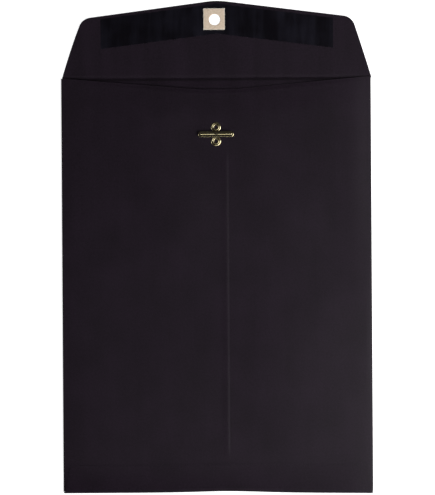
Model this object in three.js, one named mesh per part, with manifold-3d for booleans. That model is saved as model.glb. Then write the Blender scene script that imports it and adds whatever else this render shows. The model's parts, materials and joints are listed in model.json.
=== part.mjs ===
// A catalogue-size clasp envelope, lying flat with its clasp side up, its seal flap open and its
// two metal prongs pressed flat. Millimetres, +X to the right, +Y towards the flap, +Z up.
// The origin is the middle of the front panel's outer face, which lies on the table.

import * as THREE from 'three';
import { mergeVertices } from 'three/addons/utils/BufferGeometryUtils.js';
import Module from 'manifold-3d';

const wasm = await Module();
wasm.setup();

// Driving dimensions: the folded body
const envelopeWidth = 228.6;
const envelopeHeight = 306.4;
const paper = 0.2;
const pocketGap = 1.6;
const glueFilm = 0.05;

// Driving dimensions: the back seam and the bottom flap
const seamOffset = 8.7; // from the middle to the left panel's free edge
const seamOverlap = 19;
const glueMargin = 1.5; // bare paper left beside a glue line
const bottomFlapHeight = 20.3;
const bottomFlapTaper = 4;

// Driving dimensions: the throat, which is the back panels' V-shaped top edge
const throatDepth = 8.5;
const throatFlat = 23;
const leftCornerDrop = 1.4; // below the fold line
const rightCornerRise = 1; // above the fold line

// Driving dimensions: the seal flap, its gum and its patch
const flapBaseInset = 0.9; // from the body's side to the flap's base
const flapShoulderInset = 14.4; // from the body's side to the flap's shoulder
const flapFall = 12.75; // from the apex down to the shoulders
const flapSkew = 0.9; // the flap is cut this far to the right
const shoulderRadius = 10;
const apexRadius = 60;
const apexMargin = 5.3; // from the patch to the apex
const gumFilm = 0.05;
const gumInset = 2.8; // bare paper between the gum and the flap's top edges
const gumHeight = 21.9;
const gumEndMargin = 14.1; // from the shoulders to the gum's ends
const patchThickness = 0.3;
const patchMargin = 3.8; // from the hole to the patch's sides
const patchCornerRadius = 0.4;

// Driving dimensions: the clasp
const metal = 0.3;
const claspDrop = 41.8; // from the fold line down to the clasp's centre
const lugSpacing = 10.3;
const lugRadius = 3.75;
const lugRimHeight = 0.25;
const lugRimWidth = 0.65;
const waistWidth = 4;
const prongReach = 13.6; // from the clasp's centre to a prong's tip
const prongWidth = 4.4;
const beadWidth = 1.8;
const beadHeight = 0.25;
const beadTipMargin = 2.3;
const beadRootMargin = 0.5;

// Driving dimensions: the eyelets
const eyeletBoreRadius = 1.3;
const eyeletWall = 0.2;
const eyeletFlange = 0.95; // how far a flange reaches out from the bore's wall
const eyeletCurlHeight = 0.45;
const eyeletClinch = 0.25; // thickness of the flange inside the pocket

// Clearances
const clearance = 0.3; // between pieces that pass or face each other
const rivetPlay = 0.3; // between an eyelet's barrel and the holes it passes
const holeClearance = 1; // between the flap's hole and the upright prongs
const prongPlay = 0.3; // between the two upright prongs

// Facets
const curveSegments = 10;
const holeSegments = 24;
const latheSegments = 32;
const weldDistance = 1e-4;

// Heights of the folded sheets
const rightPanelBottom = paper + pocketGap;
const rightPanelTop = rightPanelBottom + paper;
const leftPanelBottom = rightPanelTop + glueFilm;
const leftPanelTop = leftPanelBottom + paper;
const bottomFlapBottom = leftPanelTop + glueFilm;
const bottomFlapTop = bottomFlapBottom + paper;
const leftFoldRadius = leftPanelTop / 2;
const rightFoldRadius = rightPanelTop / 2;
const bottomFoldRadius = bottomFlapTop / 2;

// Heights of the clasp and of the closed flap, which lies between the eyelets and the flat prongs
const plateTop = leftPanelTop + metal;
const eyeletTop = plateTop + eyeletCurlHeight;
const gumTop = paper + gumFilm;
const patchTop = gumTop + patchThickness;
const closedFlapTop = eyeletTop + clearance + patchTop;
const flapAxisHeight = closedFlapTop / 2;
const prongBottom = closedFlapTop + clearance;
const prongAxisHeight = prongBottom + metal / 2;
const prongAxisOffset = metal / 2 + beadHeight + prongPlay / 2;

// Edges and centres in the plane of the table
const foldY = envelopeHeight / 2;
const bottomY = -foldY;
const leftFoldX = -envelopeWidth / 2 + leftFoldRadius;
const rightFoldX = envelopeWidth / 2 - rightFoldRadius;
const bottomFoldY = bottomY + bottomFoldRadius;
const panelBottomY = bottomFoldY + clearance;
const rightPanelEdgeX = seamOffset - seamOverlap;
const claspY = foldY - claspDrop;
const eyeletYs = [claspY + lugSpacing / 2, claspY - lugSpacing / 2];
const rivetHoleRadius = eyeletBoreRadius + eyeletWall + rivetPlay;

// The flap's half widths at its base and at its shoulders
const flapBaseHalfWidth = envelopeWidth / 2 - flapBaseInset;
const flapShoulderHalfWidth = envelopeWidth / 2 - flapShoulderInset;

// The flap's hole takes in everything that an upright prong passes as the flap swings over it
const prongLength = prongReach - prongAxisOffset;
const prongTipHeight = prongAxisHeight + prongLength - flapAxisHeight;
const nearestSweep = claspDrop - prongWidth / 2;
const farthestSweep = Math.hypot(claspDrop + prongWidth / 2, prongTipHeight);
const holeRadius = (farthestSweep - nearestSweep) / 2 + holeClearance;
const holeY = foldY + (farthestSweep + nearestSweep) / 2;
const patchHalf = holeRadius + patchMargin;
const apexY = holeY + patchHalf + apexMargin;
const shoulderY = apexY - flapFall;

function material(color, roughness, metalness) {
  return new THREE.MeshStandardMaterial({ color, roughness, metalness });
}

const materials = {
  paper: material(0x221d23, 0.8, 0),
  gum: material(0x121119, 0.35, 0),
  glue: material(0x8c8470, 0.6, 0),
  patch: material(0xcbbcaa, 0.85, 0),
  brass: material(0xc4b68c, 0.3, 0.9),
};

const part = new THREE.Group();
part.name = 'clasp_envelope';

function addMesh(name, geometry, meshMaterial) {
  const mesh = new THREE.Mesh(geometry, meshMaterial);
  mesh.name = name;
  part.add(mesh);
  return mesh;
}

function toSolid(geometry) {
  const bare = new THREE.BufferGeometry();
  bare.setAttribute('position', geometry.getAttribute('position'));
  bare.setIndex(geometry.getIndex());
  const merged = mergeVertices(bare, weldDistance);
  const vertProperties = Float32Array.from(merged.getAttribute('position').array);
  const triVerts = Uint32Array.from(merged.getIndex().array);
  return new wasm.Manifold(new wasm.Mesh({ numProp: 3, vertProperties, triVerts }));
}

function toGeometry(solid) {
  const mesh = solid.getMesh();
  const geometry = new THREE.BufferGeometry();
  geometry.setAttribute('position', new THREE.BufferAttribute(mesh.vertProperties, 3));
  geometry.setIndex(new THREE.BufferAttribute(mesh.triVerts, 1));
  geometry.computeVertexNormals();
  return geometry;
}

function join(geometries) {
  const solids = geometries.map(toSolid);
  return toGeometry(solids.reduce((whole, solid) => whole.add(solid)));
}

// A closed outline through corners { x, y, radius }, in counter-clockwise order
function outline(corners) {
  const shape = new THREE.Shape();
  const count = corners.length;
  corners.forEach((corner, i) => {
    const here = new THREE.Vector2(corner.x, corner.y);
    const radius = corner.radius ?? 0;
    const before = corners[(i + count - 1) % count];
    const after = corners[(i + 1) % count];
    const back = new THREE.Vector2(before.x, before.y).sub(here).normalize();
    const on = new THREE.Vector2(after.x, after.y).sub(here).normalize();
    const half = Math.acos(THREE.MathUtils.clamp(back.dot(on), -1, 1)) / 2;
    const inward = back.clone().add(on).normalize();
    const centre = here.clone().addScaledVector(inward, radius / Math.sin(half));
    const reach = radius / Math.tan(half);
    const start = here.clone().addScaledVector(back, reach).sub(centre);
    const end = here.clone().addScaledVector(on, reach).sub(centre);
    if (radius > 0) {
      shape.absarc(centre.x, centre.y, radius, start.angle(), end.angle(), false);
    } else if (i === 0) {
      shape.moveTo(here.x, here.y);
    } else {
      shape.lineTo(here.x, here.y);
    }
  });
  return shape;
}

function cutRound(shape, x, y, radius) {
  const points = new THREE.Path().absarc(x, y, radius, 0, 2 * Math.PI, true).getPoints(holeSegments);
  shape.holes.push(new THREE.Path(points));
  return shape;
}

// A flat sheet of the given outline between two heights
function sheet(shape, bottom, top) {
  const depth = top - bottom;
  const geometry = new THREE.ExtrudeGeometry(shape, { depth, bevelEnabled: false, curveSegments });
  return geometry.translate(0, 0, bottom);
}

// A section drawn in X and Z, extruded along Y
function extrudeAlongY(shape, fromY, toY) {
  const depth = toY - fromY;
  const geometry = new THREE.ExtrudeGeometry(shape, { depth, bevelEnabled: false, curveSegments });
  return geometry.rotateX(Math.PI / 2).translate(0, toY, 0);
}

// A section drawn in Y and Z, extruded along X
function extrudeAlongX(shape, fromX, toX) {
  const depth = toX - fromX;
  const geometry = new THREE.ExtrudeGeometry(shape, { depth, bevelEnabled: false, curveSegments });
  const turn = new THREE.Matrix4().makeBasis(
    new THREE.Vector3(0, 1, 0),
    new THREE.Vector3(0, 0, 1),
    new THREE.Vector3(1, 0, 0),
  );
  return geometry.applyMatrix4(turn).translate(fromX, 0, 0);
}

// A profile of [radius, height] pairs turned about a vertical axis, closed on itself
function turned(profile) {
  const points = [...profile, profile[0]].map(([radius, height]) => new THREE.Vector2(radius, height));
  return new THREE.LatheGeometry(points, latheSegments).rotateX(Math.PI / 2);
}

// The half-round section of a fold, standing on height 0, open towards +u (side 1) or -u (side -1)
function foldSection(u, radius, side) {
  const from = side > 0 ? Math.PI / 2 : -Math.PI / 2;
  const shape = new THREE.Shape();
  shape.absarc(u, radius, radius, from, from + Math.PI, false);
  shape.absarc(u, radius, radius - paper, from + Math.PI, from, true);
  return shape;
}

// The throat's edge height above or below the fold line at its four corners, from left to right
function throatCorners() {
  return [
    { x: leftFoldX, y: foldY - leftCornerDrop },
    { x: -throatFlat / 2, y: foldY - throatDepth },
    { x: throatFlat / 2, y: foldY - throatDepth },
    { x: rightFoldX, y: foldY + rightCornerRise },
  ];
}

// The point of a straight throat side at x, between two of its corners
function throatPoint(from, to, x) {
  const share = (x - from.x) / (to.x - from.x);
  return { x, y: THREE.MathUtils.lerp(from.y, to.y, share) };
}

function cutEyeletHoles(shape) {
  eyeletYs.forEach((y) => cutRound(shape, 0, y, rivetHoleRadius));
  return shape;
}

// The front panel, which is the address side and lies on the table
function frontPanel() {
  const corners = [
    { x: leftFoldX, y: bottomFoldY },
    { x: rightFoldX, y: bottomFoldY },
    { x: rightFoldX, y: foldY },
    { x: leftFoldX, y: foldY },
  ];
  return sheet(outline(corners), 0, paper);
}

// The left back panel, on top at the seam
function leftBackPanel() {
  const throat = throatCorners();
  const topRight = seamOffset < throatFlat / 2
    ? { x: seamOffset, y: foldY - throatDepth }
    : throatPoint(throat[2], throat[3], seamOffset);
  const middle = seamOffset < throatFlat / 2 ? [] : [throat[2]];
  const corners = [
    { x: leftFoldX, y: panelBottomY },
    { x: seamOffset, y: panelBottomY },
    topRight,
    ...middle,
    throat[1],
    throat[0],
  ];
  return sheet(cutEyeletHoles(outline(corners)), leftPanelBottom, leftPanelTop);
}

// The right back panel, under the left one at the seam
function rightBackPanel() {
  const throat = throatCorners();
  const topLeft = rightPanelEdgeX > -throatFlat / 2
    ? { x: rightPanelEdgeX, y: foldY - throatDepth }
    : throatPoint(throat[0], throat[1], rightPanelEdgeX);
  const middle = rightPanelEdgeX > -throatFlat / 2 ? [] : [throat[1]];
  const corners = [
    { x: rightPanelEdgeX, y: panelBottomY },
    { x: rightFoldX, y: panelBottomY },
    throat[3],
    throat[2],
    ...middle,
    topLeft,
  ];
  return sheet(cutEyeletHoles(outline(corners)), rightPanelBottom, rightPanelTop);
}

// The side folds, which join the front panel to the back panels
function leftSideFold() {
  return extrudeAlongY(foldSection(leftFoldX, leftFoldRadius, 1), panelBottomY, foldY - leftCornerDrop);
}

function rightSideFold() {
  return extrudeAlongY(foldSection(rightFoldX, rightFoldRadius, -1), panelBottomY, foldY);
}

// The bottom fold and the bottom flap, which is glued over both back panels
function bottomFold() {
  return extrudeAlongX(foldSection(bottomFoldY, bottomFoldRadius, 1), leftFoldX, rightFoldX);
}

function bottomFlap() {
  const topY = bottomY + bottomFlapHeight;
  const corners = [
    { x: leftFoldX, y: bottomFoldY },
    { x: rightFoldX, y: bottomFoldY },
    { x: rightFoldX - bottomFlapTaper, y: topY },
    { x: leftFoldX + bottomFlapTaper, y: topY },
  ];
  return sheet(outline(corners), bottomFlapBottom, bottomFlapTop);
}

// The glue line between the overlapping back panels
function seamGlue() {
  const corners = [
    { x: rightPanelEdgeX + glueMargin, y: panelBottomY + glueMargin },
    { x: seamOffset - glueMargin, y: panelBottomY + glueMargin },
    { x: seamOffset - glueMargin, y: foldY - throatDepth - glueMargin },
    { x: rightPanelEdgeX + glueMargin, y: foldY - throatDepth - glueMargin },
  ];
  return sheet(cutEyeletHoles(outline(corners)), rightPanelTop, leftPanelBottom);
}

// The glue line under the bottom flap, stepped down from the left back panel to the right one
function bottomGlue() {
  const endMargin = bottomFlapTaper + glueMargin;
  const section = outline([
    { x: leftFoldX + endMargin, y: leftPanelTop },
    { x: seamOffset, y: leftPanelTop },
    { x: seamOffset, y: rightPanelTop },
    { x: rightFoldX - endMargin, y: rightPanelTop },
    { x: rightFoldX - endMargin, y: bottomFlapBottom },
    { x: leftFoldX + endMargin, y: bottomFlapBottom },
  ]);
  return extrudeAlongY(section, panelBottomY + glueMargin, bottomY + bottomFlapHeight - glueMargin);
}

// The height of a line parallel to the flap's top edges, at a distance inside them
function flapLineY(inset, x) {
  const slope = flapFall / flapShoulderHalfWidth;
  return apexY - inset * Math.hypot(1, slope) - slope * Math.abs(x);
}

// The seal flap, folded open, its inner face up
function sealFlap() {
  const shape = outline([
    { x: flapSkew - flapBaseHalfWidth, y: foldY },
    { x: flapSkew + flapBaseHalfWidth, y: foldY },
    { x: flapSkew + flapShoulderHalfWidth, y: shoulderY, radius: shoulderRadius },
    { x: flapSkew, y: apexY, radius: apexRadius },
    { x: flapSkew - flapShoulderHalfWidth, y: shoulderY, radius: shoulderRadius },
  ]);
  return sheet(cutRound(shape, 0, holeY, holeRadius), 0, paper);
}

// The dried gum on the flap's inner face, a band parallel to its top edges
function gumStrip() {
  const end = flapShoulderHalfWidth - gumEndMargin;
  const low = gumInset + gumHeight;
  const shape = outline([
    { x: flapSkew - end, y: flapLineY(low, end) },
    { x: flapSkew, y: flapLineY(low, 0) },
    { x: flapSkew + end, y: flapLineY(low, end) },
    { x: flapSkew + end, y: flapLineY(gumInset, end) },
    { x: flapSkew, y: flapLineY(gumInset, 0) },
    { x: flapSkew - end, y: flapLineY(gumInset, end) },
  ]);
  return sheet(cutRound(shape, 0, holeY, holeRadius), paper, gumTop);
}

// The square tag patch that reinforces the flap's hole
function flapPatch() {
  const radius = patchCornerRadius;
  const shape = outline([
    { x: -patchHalf, y: holeY - patchHalf, radius },
    { x: patchHalf, y: holeY - patchHalf, radius },
    { x: patchHalf, y: holeY + patchHalf, radius },
    { x: -patchHalf, y: holeY + patchHalf, radius },
  ]);
  return sheet(cutRound(shape, 0, holeY, holeRadius), gumTop, patchTop);
}

// One dished lug of the clasp plate: a washer with a raised rim
function claspLug(y) {
  const rimTop = plateTop + lugRimHeight;
  const lug = turned([
    [rivetHoleRadius, leftPanelTop],
    [lugRadius, leftPanelTop],
    [lugRadius, plateTop],
    [lugRadius - lugRimWidth / 4, rimTop],
    [lugRadius - lugRimWidth * 3 / 4, rimTop],
    [lugRadius - lugRimWidth, plateTop],
    [rivetHoleRadius, plateTop],
  ]);
  return lug.translate(0, y, 0);
}

// One upright tab of the clasp plate, which carries a prong at its bend
function claspTab(side) {
  const bottom = (leftPanelTop + plateTop) / 2;
  const height = prongBottom - clearance - bottom;
  const tab = new THREE.BoxGeometry(metal, waistWidth, height);
  return tab.translate(side * prongAxisOffset, claspY, bottom + height / 2);
}

// The stamped clasp plate: two lugs, the waist between them and the two tabs
function claspPlate() {
  const lugInset = (rivetHoleRadius + lugRadius) / 2;
  const waistLength = lugSpacing - 2 * lugInset;
  const waist = new THREE.BoxGeometry(waistWidth, waistLength, metal);
  waist.translate(0, claspY, leftPanelTop + metal / 2);
  return join([waist, ...eyeletYs.map(claspLug), claspTab(-1), claspTab(1)]);
}

// One eyelet: a barrel through both back panels, curled over the lug and clinched in the pocket
function eyelet(y) {
  const barrel = eyeletBoreRadius + eyeletWall;
  const rim = barrel + eyeletFlange;
  const clinchBottom = rightPanelBottom - eyeletClinch;
  const body = turned([
    [eyeletBoreRadius, clinchBottom],
    [rim - eyeletWall, clinchBottom],
    [rim, clinchBottom + eyeletClinch / 2],
    [rim, rightPanelBottom],
    [barrel, rightPanelBottom],
    [barrel, plateTop],
    [rim, plateTop],
    [rim, plateTop + eyeletCurlHeight / 3],
    [rim - eyeletFlange / 4, plateTop + eyeletCurlHeight * 5 / 6],
    [rim - eyeletFlange / 2, eyeletTop],
    [rim - eyeletFlange * 3 / 4, plateTop + eyeletCurlHeight * 5 / 6],
    [eyeletBoreRadius, plateTop + eyeletCurlHeight / 4],
  ]);
  return body.translate(0, y, 0);
}

// One prong pressed flat towards -X, with its bend's axis as its origin
function prong() {
  const tipRadius = prongWidth / 2;
  const strip = new THREE.Shape();
  strip.moveTo(0, tipRadius);
  strip.absarc(-(prongLength - tipRadius), 0, tipRadius, Math.PI / 2, Math.PI * 3 / 2, false);
  strip.lineTo(0, -tipRadius);
  const blade = sheet(strip, -metal / 2, metal / 2);
  const bend = new THREE.CylinderGeometry(metal / 2, metal / 2, prongWidth, latheSegments / 2);
  const beadRadius = beadWidth / 2;
  const beadLength = prongLength - beadTipMargin - beadRootMargin;
  const bead = new THREE.CapsuleGeometry(beadRadius, beadLength - beadWidth, curveSegments / 2, holeSegments);
  bead.rotateZ(Math.PI / 2).scale(1, 1, beadHeight / beadRadius);
  bead.translate(-beadRootMargin - beadLength / 2, 0, metal / 2);
  return join([blade, bend, bead]);
}

// The two prongs are alike, one turned half round to point the other way
function addProng(name, side) {
  const mesh = addMesh(name, prong(), materials.brass);
  mesh.position.set(side * prongAxisOffset, claspY, prongAxisHeight);
  mesh.rotation.z = side > 0 ? Math.PI : 0;
}

addMesh('front_panel', frontPanel(), materials.paper);
addMesh('left_side_fold', leftSideFold(), materials.paper);
addMesh('right_side_fold', rightSideFold(), materials.paper);
addMesh('bottom_fold', bottomFold(), materials.paper);
addMesh('left_back_panel', leftBackPanel(), materials.paper);
addMesh('right_back_panel', rightBackPanel(), materials.paper);
addMesh('bottom_flap', bottomFlap(), materials.paper);
addMesh('seam_glue', seamGlue(), materials.glue);
addMesh('bottom_glue', bottomGlue(), materials.glue);
addMesh('seal_flap', sealFlap(), materials.paper);
addMesh('gum_strip', gumStrip(), materials.gum);
addMesh('flap_patch', flapPatch(), materials.patch);
addMesh('clasp_plate', claspPlate(), materials.brass);
addMesh('upper_eyelet', eyelet(eyeletYs[0]), materials.brass);
addMesh('lower_eyelet', eyelet(eyeletYs[1]), materials.brass);
addProng('left_prong', -1);
addProng('right_prong', 1);

export default part;
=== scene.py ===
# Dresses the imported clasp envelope: one folded sheet of dark paper, dried gum, a tag-stock patch
# and a stamped brass clasp, lit and framed as in the photograph. Metres, in the part's own frame.
import json
import math

import bmesh
import bpy
import numpy as np
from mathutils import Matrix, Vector


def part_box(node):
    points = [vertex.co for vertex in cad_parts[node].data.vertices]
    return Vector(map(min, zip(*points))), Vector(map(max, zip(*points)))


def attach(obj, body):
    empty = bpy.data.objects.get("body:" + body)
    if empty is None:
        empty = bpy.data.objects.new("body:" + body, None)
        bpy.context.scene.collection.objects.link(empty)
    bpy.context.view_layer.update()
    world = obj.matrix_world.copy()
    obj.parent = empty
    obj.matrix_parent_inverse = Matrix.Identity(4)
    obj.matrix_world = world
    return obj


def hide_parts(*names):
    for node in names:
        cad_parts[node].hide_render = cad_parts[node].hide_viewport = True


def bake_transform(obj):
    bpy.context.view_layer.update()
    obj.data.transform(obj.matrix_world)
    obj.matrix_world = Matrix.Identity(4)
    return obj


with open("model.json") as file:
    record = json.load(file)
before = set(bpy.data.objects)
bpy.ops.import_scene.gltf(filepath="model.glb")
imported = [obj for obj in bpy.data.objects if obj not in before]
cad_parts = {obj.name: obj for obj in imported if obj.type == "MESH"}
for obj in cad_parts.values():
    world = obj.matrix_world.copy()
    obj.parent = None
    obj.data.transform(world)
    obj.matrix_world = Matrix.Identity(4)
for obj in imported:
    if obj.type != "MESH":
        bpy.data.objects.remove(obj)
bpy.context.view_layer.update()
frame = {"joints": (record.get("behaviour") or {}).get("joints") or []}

MM = 0.001

# The photograph's frame in pixels, and where the object lies in it
FRAME_WIDTH = 435
FRAME_HEIGHT = 495
PIXELS_PER_MM = 1.3542
FOLD_ROW = 77.06
MIDDLE_COLUMN = 216.95
ROLL_DEGREES = 0.36
LENS_MM = 200
SENSOR_MM = 36


def joint_named(name):
    return next(joint for joint in frame["joints"] if joint["name"] == name)


# Places that the frame gives, in metres
front_low, front_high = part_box("front_panel")
left_low, left_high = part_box("left_back_panel")
right_low, right_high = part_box("right_back_panel")
bottom_flap_low, bottom_flap_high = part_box("bottom_flap")
seam_glue_low, seam_glue_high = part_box("seam_glue")
bottom_glue_low, bottom_glue_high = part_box("bottom_glue")
flap_low, flap_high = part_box("seal_flap")
gum_low, gum_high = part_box("gum_strip")
patch_low, patch_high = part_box("flap_patch")
plate_low, plate_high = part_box("clasp_plate")
upper_eyelet_low, upper_eyelet_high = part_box("upper_eyelet")
lower_eyelet_low, lower_eyelet_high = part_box("lower_eyelet")
prong_low, prong_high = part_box("left_prong")

# How far pieces lie beside the part's, as the photograph shows
CLASP_X = -0.2 * MM
CLASP_DROP = 0.4 * MM
LUG_TRIM = 0.12 * MM
HOLE_LEFT = 0.7 * MM
HOLE_DROP = 0.77 * MM
PATCH_SHIFT = (-0.4 * MM, 0.5 * MM)
PATCH_TRIM = 0.4 * MM
SEAM_SHIFT = 0.5 * MM

PAPER = front_high.z - front_low.z
FOLD_Y = joint_named("flap_fold")["pos_m"][1]
PRONG_AXIS = Vector(joint_named("left_prong_bend")["pos_m"])
METAL = 2 * (PRONG_AXIS.z - prong_low.z)
CLASP_Y = (plate_low.y + plate_high.y) / 2 - CLASP_DROP
LUG_RADIUS = (plate_high.x - plate_low.x) / 2 - LUG_TRIM
SEAM_X = left_high.x + SEAM_SHIFT
PATCH_MIDDLE = (patch_low + patch_high) / 2
HOLE = Vector((PATCH_MIDDLE.x - HOLE_LEFT, PATCH_MIDDLE.y - HOLE_DROP))
PATCH_HALF = (patch_high.x - patch_low.x) / 2 - PATCH_TRIM

# Sizes that the frame's boxes don't give, as in the part
PATCH_MARGIN = 3.8 * MM
HOLE_RADIUS = PATCH_HALF - PATCH_MARGIN
THROAT_FLAT = 23 * MM
FLAP_SHOULDER_INSET = 13.5 * MM
FLAP_FALL = 12.75 * MM
FLAP_APEX_MARGIN = 5.3 * MM
SHOULDER_RADIUS = 10 * MM
APEX_RADIUS = 60 * MM
GUM_HEIGHT = 21.9 * MM
BOTTOM_FLAP_TAPER = 4 * MM

# Sizes that follow the photograph a little closer than the part does
THROAT_DEPTH = 9.1 * MM
LEFT_CORNER_DROP = 0.6 * MM
RIGHT_CORNER_DROP = 0
GUM_INSET = 2.5 * MM
FLAP_LEFT_SPREAD = 1.0 * MM
FLAP_RIGHT_SPREAD = 0.35 * MM
FLAP_LEFT_SAG = 0.4 * MM

# The flap's middle line, apex and shoulders
FLAP_MIDDLE = (flap_low.x + flap_high.x) / 2
FLAP_BASE_HALF = (flap_high.x - flap_low.x) / 2
FLAP_SHOULDER_HALF = FLAP_BASE_HALF - FLAP_SHOULDER_INSET
APEX_Y = patch_high.y + FLAP_APEX_MARGIN
SHOULDER_Y = APEX_Y - FLAP_FALL
FLAP_SLOPE = FLAP_FALL / FLAP_SHOULDER_HALF

# How the flap's sides bow, and the share of their height that their shoulders' arcs start from
FLAP_BOW_RISE = 0.61
FLAP_BOW_FALL = 2.1
FLAP_BASE_SHARE = 0.7

# The ragged rims of gum and patch; a wave is its size, its turns and its phase
GUM_FOOT_WAVES = ((0.16 * MM, 900, 0), (0.12 * MM, 2300, 1))
GUM_HEAD_WAVES = ((0.14 * MM, 1100, 2), (0.10 * MM, 2700, 0))
PATCH_SIDE_STEPS = 14
PATCH_RAGGED = 0.006
# Each ring's share of the way from hole to rim, and the share of the thickness that it is eased by
PATCH_RINGS = ((0, 0.35), (0.03, 0.06), (0.2, 0), (0.45, 0), (0.7, 0), (0.9, 0), (0.975, 0.05), (1, 0.32))

# How the back panels wander from flat; a pair says where a change begins and where it is complete
WAVE_HEIGHT = 0.22 * MM
# Each wave's share, its turns in x and in y, and its phase
WAVES = (
    (0.50, 31, 17, 0.6),
    (0.40, -47, 29, 2.1),
    (0.30, 23, -71, 4.0),
    (0.22, 96, 43, 1.3),
    (0.16, -70, -118, 5.2),
)
WAVE_FROM_SIDE = (0, 40 * MM)
WAVE_FROM_FOOT = (10 * MM, 60 * MM)
FROM_CLASP = (11 * MM, 45 * MM)
MOUTH_SAG = 1.15 * MM
MOUTH_REACH = 22 * MM
LIP_REACH = 3.5 * MM
LIP_SHARE = 0.28
# Each swell's centre, half widths and height
SWELLS = (
    (50 * MM, -50 * MM, 34 * MM, 48 * MM, 0.95 * MM),
    (-33 * MM, 60 * MM, 34 * MM, 45 * MM, 1.15 * MM),
)
EDGE_ROLL = 0.4 * MM
EDGE_ROLL_WIDTH = 16 * MM
UPPER_RIGHT_ROLL = 0.7 * MM
UPPER_RIGHT_FROM = (0, 80 * MM)
SEAM_RISE = 0.16 * MM
SEAM_SLOPE = (7 * MM, 1.9 * MM)
SEAM_FALL = 1.8 * MM
SEAM_FROM_CLASP = (11 * MM, 19 * MM)
SEAM_FROM_FOOT = (3 * MM, 14 * MM)

# How the foot and the bottom flap stray
FOOT_PRESS = 0.24 * MM
FOOT_PRESS_REACH = 9 * MM
FOOT_PRESS_FROM = (8 * MM, 12 * MM)
FOOT_CORNER = 1.6 * MM
FOOT_CORNER_SPREAD = 1.0 * MM
FOOT_CORNER_EASE = 0.02 * MM
FOOT_DROP = 0.22 * MM
FOOT_RISE = 0.9 * MM
FOOT_RISE_X = 10 * MM
FOOT_RISE_WIDTH = 32 * MM
FOOT_SKEW = 1.25 * MM
FOOT_END_Y = -115 * MM

# How the flap lifts and the top fold is creased
FLAP_LIFT = 0.5 * MM
FLAP_LIFT_REACH = 50 * MM
FLAP_CURL_POWER = 2.2
FLAP_RIPPLE = 0.12 * MM
FROM_HOLE = (12 * MM, 45 * MM)
CREASE_ABOVE = 0.1728 * MM
CREASE_BELOW = 0.4032 * MM
CREASE_REACH = 1.5 * MM
CREASE_FADE_ABOVE = 11 * MM
CREASE_FADE_BELOW = 6 * MM
CREASE_OFFSET = 0.45 * MM
FOLD_BAND = 1.0 * MM

# Mesh steps
SHEET_STEP = 4 * MM
FINE_STEP = 0.8 * MM
HOLE_CELL_HALF = 6.4 * MM
HOLE_CELL_STEPS = 12
HOLE_RINGS = 3
MOUTH_BAND = 30 * MM
MOUTH_STEP = 2 * MM
LIP_BAND = 6 * MM
LIP_STEP = 0.5 * MM
CREASE_BAND = 12 * MM
EDGE_BAND = 2 * MM
EDGE_STEP = 0.25 * MM
APEX_ROOM = 1 * MM
# The left panel's columns near the seam, in mm from its edge
SEAM_COLUMNS = (0, 0.12, 0.35, 0.6, 0.9, 1.2, 1.5, 2, 3, 4.5, 6)
ARC_STEPS = 14
UV_UNIT = 100 * MM
SHEET_CREASE_DEGREES = 38
STAMPING_CREASE_DEGREES = 30


def smoothstep(low, high, value):
    share = np.clip((np.asarray(value) - low) / (high - low), 0, 1)
    return share * share * (3 - 2 * share)


def steps(low, high, step):
    """Even values from low to high, about step apart, both ends included."""
    return np.linspace(low, high, max(2, int(round((high - low) / step)) + 1))


def joined(*runs):
    """Runs of rising values as one, without the values that two runs share."""
    return np.unique(np.round(np.concatenate(runs), 9))


# Surfaces: how high each sheet stands over its place in the part


def clear_of_clasp(x, y):
    """0 round the clasp and 1 well away from it."""
    return smoothstep(*FROM_CLASP, np.hypot(x, y - CLASP_Y))


def wave(x, y):
    """The back panels' soft undulation, still at the folds, at the foot and round the clasp."""
    ripple = sum(size * np.sin(x * across + y * along + phase) for size, across, along, phase in WAVES)
    from_sides = np.minimum(x - front_low.x, front_high.x - x)
    from_foot = y - bottom_flap_low.y
    still = smoothstep(*WAVE_FROM_SIDE, from_sides) * smoothstep(*WAVE_FROM_FOOT, from_foot)
    return WAVE_HEIGHT * (ripple + 1) * still * clear_of_clasp(x, y)


def mouth_sag(x, y):
    """How far the back panels sink at the pocket's mouth, most in its middle and at its edge."""
    from_edge = throat(x) - y
    across = 1 - np.abs(x / left_low.x) ** 3
    slow = 1 - smoothstep(0, MOUTH_REACH, from_edge)
    quick = 1 - smoothstep(0, LIP_REACH, from_edge)
    return -MOUTH_SAG * across * ((1 - LIP_SHARE) * slow + LIP_SHARE * quick)


def swell(x, y):
    """Two low broad humps where the pocket holds some air, none of it at the clasp."""
    height = 0
    for centre_x, centre_y, half_x, half_y, rise in SWELLS:
        away = ((x - centre_x) / half_x) ** 2 + ((y - centre_y) / half_y) ** 2
        height = height + rise * np.exp(-away)
    return height * clear_of_clasp(x, y)


def edge_roll(x, y):
    """How far a back panel sinks as it nears its side fold, most at the upper right."""
    near = np.clip(1 - (right_high.x - np.abs(x)) / EDGE_ROLL_WIDTH, 0, 1)
    upper_right = smoothstep(*UPPER_RIGHT_FROM, y) * (np.asarray(x) > 0)
    return -(EDGE_ROLL + UPPER_RIGHT_ROLL * upper_right) * near**2


def panel_height(x, y):
    return wave(x, y) + mouth_sag(x, y) + swell(x, y) + edge_roll(x, y)


def foot_press(x, y):
    """How far the bottom flap's free edge is pressed down where only the right panel is under it."""
    near_edge = 1 - smoothstep(0, FOOT_PRESS_REACH, bottom_flap_high.y - y)
    return -FOOT_PRESS * near_edge * smoothstep(*FOOT_PRESS_FROM, x)


def crease(y):
    """The valley along the top fold: each side rises steeply, then sinks back slowly."""
    away = y - FOLD_Y + CREASE_OFFSET
    fade = np.where(away > 0, CREASE_FADE_ABOVE, CREASE_FADE_BELOW)
    height = np.where(away > 0, CREASE_ABOVE, CREASE_BELOW)
    rise = 1 - np.exp(-np.abs(away) / CREASE_REACH)
    return height * rise * np.exp(-np.abs(away) / fade)


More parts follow.
